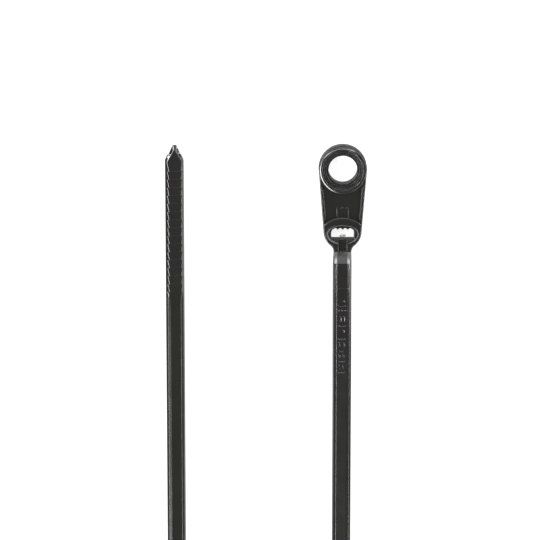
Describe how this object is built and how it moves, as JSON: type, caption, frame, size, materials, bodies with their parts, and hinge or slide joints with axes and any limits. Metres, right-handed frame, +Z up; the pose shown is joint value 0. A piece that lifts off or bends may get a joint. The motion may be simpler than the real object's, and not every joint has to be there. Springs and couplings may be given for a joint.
{
  "type": "mounting hole cable tie",
  "caption": "Black nylon cable tie with a screw ring at its head, a slot with a steel barb, a bevelled strap and a pointed grip tail, lying folded into a hairpin.",
  "frame": {"origin": "middle of the folded tie's footprint, on the surface it lies on", "axes": "+Y along the two legs towards the tip and the ring, +Z up out of the surface, the ring on the +X side"},
  "size_m": [0.0508, 0.1706, 0.005],
  "materials": {
    "black_nylon": "semi-gloss moulded black nylon",
    "barb_steel": "rolled stainless strip"
  },
  "bodies": {
    "root": {"tie_moulding": "black_nylon", "locking_barb": "barb_steel"}
  },
  "joints": []
}
